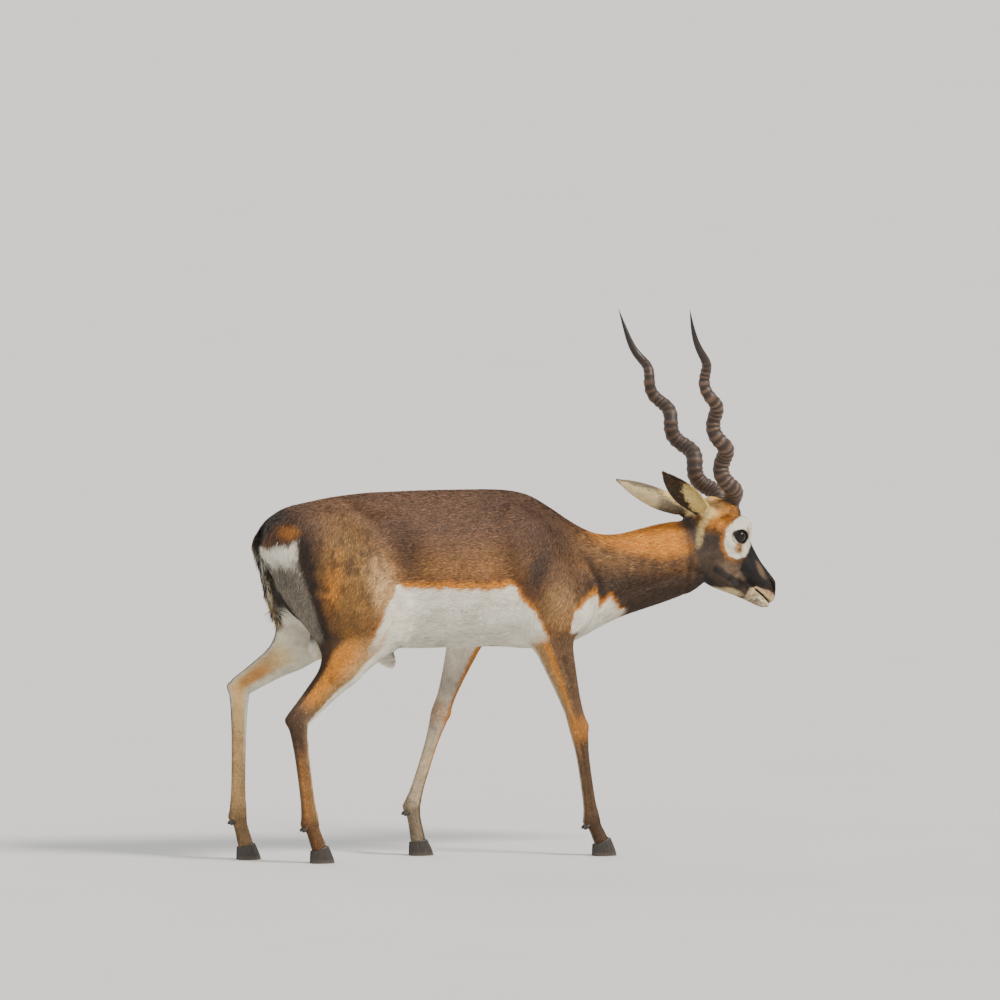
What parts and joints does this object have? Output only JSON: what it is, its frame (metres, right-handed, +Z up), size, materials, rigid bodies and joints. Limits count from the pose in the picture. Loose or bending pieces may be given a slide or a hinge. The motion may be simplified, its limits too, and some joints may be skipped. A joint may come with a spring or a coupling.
{
  "type": "blackbuck",
  "caption": "Life-size still model of a walking male blackbuck with long ringed spiral horns, dark brown coat, white belly and eye rings",
  "frame": {"origin": "on the floor under the middle of the bounding box", "axes": "+X is the way the animal walks, +Y is its left, +Z is up"},
  "size_m": [1.2072, 0.3866, 1.1843],
  "materials": {
    "body_coat": "short flat dark brown fur with a sharp white belly",
    "neck_coat": "short dark brown fur, rufous along the nape, white at the breast",
    "head_coat": "very short blackish fur with white round the eyes and on the lips and chin",
    "foreleg_coat": "short dark brown fur in front, white on the inner side",
    "hindleg_coat": "short golden brown fur, white on the inner side",
    "tail_hair": "dark hair with pale edges",
    "ear": "pale cream short fur with a dark inside",
    "horn": "dark ringed horn sheath, satin",
    "hoof": "blackish horn, satin",
    "eye": "wet, very dark brown"
  },
  "bodies": {
    "root": {"dewclaw_fore_left_inner": "hoof", "dewclaw_fore_left_outer": "hoof", "dewclaw_fore_right_inner": "hoof", "dewclaw_fore_right_outer": "hoof", "dewclaw_hind_left_inner": "hoof", "dewclaw_hind_left_outer": "hoof", "dewclaw_hind_right_inner": "hoof", "dewclaw_hind_right_outer": "hoof", "ear_left": "ear", "ear_right": "ear", "eye_left": "eye", "eye_right": "eye", "fore_lower_left": "foreleg_coat", "fore_lower_right": "foreleg_coat", "fore_upper_left": "foreleg_coat", "fore_upper_right": "foreleg_coat", "head": "head_coat", "hind_lower_left": "hindleg_coat", "hind_lower_right": "hindleg_coat", "hind_shank_left": "hindleg_coat", "hind_shank_right": "hindleg_coat", "hind_thigh_left": "hindleg_coat", "hind_thigh_right": "hindleg_coat", "hoof_fore_left_inner": "hoof", "hoof_fore_left_outer": "hoof", "hoof_fore_right_inner": "hoof", "hoof_fore_right_outer": "hoof", "hoof_hind_left_inner": "hoof", "hoof_hind_left_outer": "hoof", "hoof_hind_right_inner": "hoof", "hoof_hind_right_outer": "hoof", "horn_left": "horn", "horn_right": "horn", "neck": "neck_coat", "tail": "tail_hair", "torso": "body_coat"}
  },
  "joints": []
}
